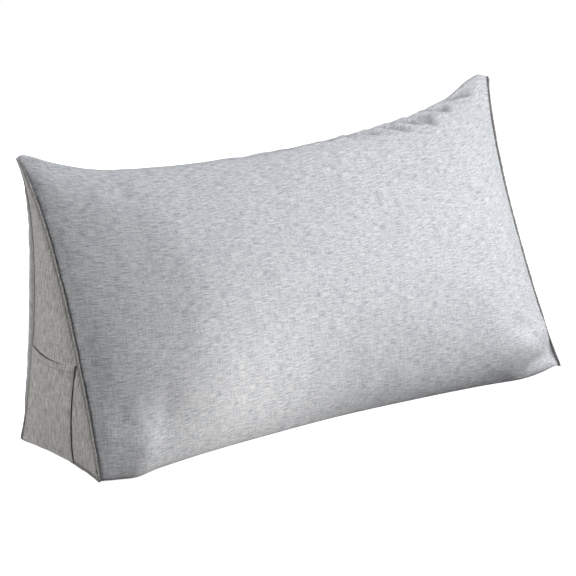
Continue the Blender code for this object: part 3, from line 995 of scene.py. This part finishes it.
def stitch_tree():
    """Geometry nodes that lay stitches along a wire."""
    tree = bpy.data.node_groups.new("stitch_line", "GeometryNodeTree")
    sockets = tree.interface
    sockets.new_socket("Geometry", in_out="INPUT", socket_type="NodeSocketGeometry")
    for label, default in (("Pitch", 0.0038), ("Stitch Length", 0.003), ("Thickness", 0.0006)):
        socket = sockets.new_socket(label, in_out="INPUT", socket_type="NodeSocketFloat")
        socket.default_value = default
    sockets.new_socket("Thread", in_out="INPUT", socket_type="NodeSocketMaterial")
    sockets.new_socket("Geometry", in_out="OUTPUT", socket_type="NodeSocketGeometry")
    nodes, links = tree.nodes, tree.links
    start, end = nodes.new("NodeGroupInput"), nodes.new("NodeGroupOutput")
    curve = nodes.new("GeometryNodeMeshToCurve")
    points = nodes.new("GeometryNodeResampleCurve")
    points.mode = "LENGTH"
    tangent = nodes.new("GeometryNodeInputTangent")
    turn = nodes.new("FunctionNodeAlignRotationToVector")
    turn.axis = "X"
    stitch = nodes.new("GeometryNodeMeshUVSphere")
    stitch.inputs["Segments"].default_value = 8
    stitch.inputs["Rings"].default_value = 6
    stitch.inputs["Radius"].default_value = 0.5
    size = nodes.new("ShaderNodeCombineXYZ")
    copies = nodes.new("GeometryNodeInstanceOnPoints")
    real = nodes.new("GeometryNodeRealizeInstances")
    coat = nodes.new("GeometryNodeSetMaterial")
    links.new(start.outputs["Geometry"], curve.inputs["Mesh"])
    links.new(curve.outputs["Curve"], points.inputs["Curve"])
    links.new(start.outputs["Pitch"], points.inputs["Length"])
    links.new(tangent.outputs["Tangent"], turn.inputs["Vector"])
    links.new(start.outputs["Stitch Length"], size.inputs["X"])
    links.new(start.outputs["Thickness"], size.inputs["Y"])
    links.new(start.outputs["Thickness"], size.inputs["Z"])
    links.new(points.outputs["Curve"], copies.inputs["Points"])
    links.new(stitch.outputs["Mesh"], copies.inputs["Instance"])
    links.new(turn.outputs["Rotation"], copies.inputs["Rotation"])
    links.new(size.outputs["Vector"], copies.inputs["Scale"])
    links.new(copies.outputs["Instances"], real.inputs["Geometry"])
    links.new(real.outputs["Geometry"], coat.inputs["Geometry"])
    links.new(start.outputs["Thread"], coat.inputs["Material"])
    links.new(coat.outputs["Geometry"], end.inputs["Geometry"])
    return tree


def pocket_stitch_lines():
    """Wires just above the pocket's cloth: down its front edge and along its hem."""
    tall = POCKET_MOUTH - POCKET_FOOT
    proud = POCKET_CLOTH - 0.00035
    up = np.linspace(0.015, 0.985, 60)
    lift = POCKET_HEM_THICKER * smoothstep(0.9, 0.94, up)
    front = pocket_points(np.full_like(up, POCKET_STITCH_INSET / POCKET_WIDTH), up, proud + lift)
    across = np.linspace(0.02, 0.98, 50)
    hem_up = 1 - POCKET_HEM / tall + 0.012
    hem = pocket_points(across, np.full_like(across, hem_up), proud + POCKET_HEM_THICKER * 0.9)
    return [front, hem]


class PILLOW_OT_stitching(bpy.types.Operator):
    """Lay the topstitching along the pocket's front edge and hem"""

    bl_idname = "pillow.stitching"
    bl_label = "Topstitching"

    def execute(self, context):
        sizes = context.scene.backrest_pillow.stitching
        points, edges = [], []
        for line in pocket_stitch_lines():
            first = len(points)
            points.extend((line + SHIFT).tolist())
            edges.extend((first + i, first + i + 1) for i in range(len(line) - 1))
        wire = bpy.data.meshes.new("stitch_wires")
        wire.from_pydata(points, edges, [])
        source = bpy.data.objects.new("stitch_wires", wire)
        context.scene.collection.objects.link(source)
        thread = plain_material("sewing_thread", tuple(sizes.thread), 0.7)
        tree = stitch_tree()
        maker = source.modifiers.new("Stitches", "NODES")
        maker.node_group = tree
        values = {
            "Pitch": sizes.pitch,
            "Stitch Length": sizes.length,
            "Thickness": sizes.thickness,
            "Thread": thread,
        }
        for item in tree.interface.items_tree:
            if item.in_out == "INPUT" and item.name in values:
                maker[item.identifier] = values[item.name]
        evaluated = source.evaluated_get(context.evaluated_depsgraph_get())
        mesh = bpy.data.meshes.new_from_object(evaluated)
        source.modifiers.remove(maker)
        bpy.data.objects.remove(source, do_unlink=True)
        if not mesh.polygons:
            raise RuntimeError("the stitching has no faces")
        mesh.name = "pocket_topstitching"
        mesh.shade_smooth()
        obj = bpy.data.objects.new("pocket_topstitching", mesh)
        context.scene.collection.objects.link(obj)
        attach(obj, BODY)
        return {"FINISHED"}


# ---- The studio ----

CAMERA_TARGET = (-0.02915, 0.00832, 0.2122)

# Soft discs of light round the pillow: place and size in metres, power in watts
StudioLight = namedtuple("StudioLight", "name place size power colour")
STUDIO_LIGHTS = (
    StudioLight("low_front", (0.0, -0.75, 0.40), 0.25, 0.7, (1.0, 1.0, 1.0)),
    StudioLight("low_right", (0.25, -0.75, 0.50), 0.30, 1.6, (1.0, 1.0, 1.0)),
    StudioLight("floor_glow", (-0.20, -0.42, 0.05), 0.12, 0.60, (1.0, 0.96, 0.91)),
    StudioLight("right", (1.40, -0.95, 0.95), 0.40, 22.5, (1.0, 1.0, 1.0)),
    StudioLight("top", (-0.3, 0.15, 1.9), 0.40, 12.5, (0.97, 0.98, 1.0)),
    StudioLight("left_back", (-1.7, 0.35, 0.45), 0.50, 9.4, (1.0, 0.985, 0.96)),
    StudioLight("behind", (0.3, 1.8, 0.45), 0.80, 9.0, (1.0, 1.0, 1.0)),
)


def aim(obj, target, roll=0.0):
    """Turns a light or camera to look at a point."""
    turned = (Vector(target) - obj.location).to_track_quat("-Z", "Y").to_matrix()
    obj.rotation_euler = (turned @ Matrix.Rotation(roll, 3, "Z")).to_euler()


def area_light(name, place, size, power, colour):
    data = bpy.data.lights.new(name, "AREA")
    data.shape = "DISK"
    data.size = size
    data.energy = power
    data.color = colour
    obj = bpy.data.objects.new(name, data)
    obj.location = place
    aim(obj, (max(min(place[0], 0.4), -0.4), 0, 0.2))
    obj.visible_camera = False
    bpy.context.scene.collection.objects.link(obj)
    return obj


def floor_material(colour):
    """Pale matt floor, lifted so that it reads as a white studio sweep."""
    made = plain_material("pale_floor", colour, 0.9)
    shader = made.node_tree.nodes["Principled BSDF"]
    shader.inputs["Specular IOR Level"].default_value = 0.0
    shader.inputs["Emission Color"].default_value = (1.0, 1.0, 1.0, 1.0)
    shader.inputs["Emission Strength"].default_value = 0.93
    return made


class PILLOW_OT_stage(bpy.types.Operator):
    """Set up the pale floor, the soft studio lights and the camera"""

    bl_idname = "pillow.stage"
    bl_label = "Studio"

    def execute(self, context):
        stage = context.scene.backrest_pillow.stage
        scene = context.scene
        scene.view_settings.view_transform = "Standard"
        mesh = bpy.data.meshes.new("studio_floor")
        half = 14.0
        corners = [(-half, -half, 0), (half, -half, 0), (half, half, 0), (-half, half, 0)]
        mesh.from_pydata(corners, [], [(0, 1, 2, 3)])
        mesh.materials.append(floor_material(tuple(stage.floor)))
        floor = bpy.data.objects.new("studio_floor", mesh)
        floor.visible_diffuse = False
        scene.collection.objects.link(floor)
        for light in STUDIO_LIGHTS:
            area_light(light.name, light.place, light.size, light.power * stage.light_power, light.colour)
        world = bpy.data.worlds.new("studio_air")
        world.use_nodes = True
        background = world.node_tree.nodes["Background"]
        background.inputs["Color"].default_value = (0.96, 0.98, 1.0, 1.0)
        background.inputs["Strength"].default_value = stage.ambient
        scene.world = world
        data = bpy.data.cameras.new("studio_camera")
        data.lens = stage.lens
        data.sensor_width = 36.0
        data.clip_end = 60.0
        camera = bpy.data.objects.new("studio_camera", data)
        azimuth, elevation = math.radians(stage.camera_azimuth), math.radians(stage.camera_elevation)
        flat = math.cos(elevation)
        back = Vector((math.sin(azimuth) * flat, -math.cos(azimuth) * flat, math.sin(elevation)))
        target = Vector(CAMERA_TARGET) + Vector(SHIFT)
        camera.location = target + back * stage.camera_distance
        aim(camera, target, math.radians(stage.camera_roll))
        scene.collection.objects.link(camera)
        scene.camera = camera
        return {"FINISHED"}


class VIEW3D_PT_backrest_pillow(bpy.types.Panel):
    """Sizes, colours and steps of the pillow"""

    bl_label = "Backrest Pillow"
    bl_space_type = "VIEW_3D"
    bl_region_type = "UI"
    bl_category = "Pillow"

    def draw(self, context):
        settings = context.scene.backrest_pillow
        for group in (settings.stuffing, settings.cloth, settings.stitching, settings.stage):
            box = self.layout.box()
            for name in group.__annotations__:
                box.prop(group, name)
        for step in STEPS:
            self.layout.operator(step.bl_idname)


STEPS = (PILLOW_OT_cover, PILLOW_OT_gussets, PILLOW_OT_pocket, PILLOW_OT_stitching, PILLOW_OT_stage)
CLASSES = (
    PillowStuffing,
    PillowCloth,
    PillowStitching,
    PillowStage,
    BackrestPillow,
    *STEPS,
    VIEW3D_PT_backrest_pillow,
)


def register():
    for item in CLASSES:
        bpy.utils.register_class(item)
    bpy.types.Scene.backrest_pillow = PointerProperty(type=BackrestPillow)


def unregister():
    del bpy.types.Scene.backrest_pillow
    for item in reversed(CLASSES):
        bpy.utils.unregister_class(item)


def main():
    register()
    bpy.ops.pillow.cover()
    bpy.ops.pillow.gussets()
    bpy.ops.pillow.pocket()
    bpy.ops.pillow.stitching()
    bpy.ops.pillow.stage()


if __name__ == "__main__":
    main()
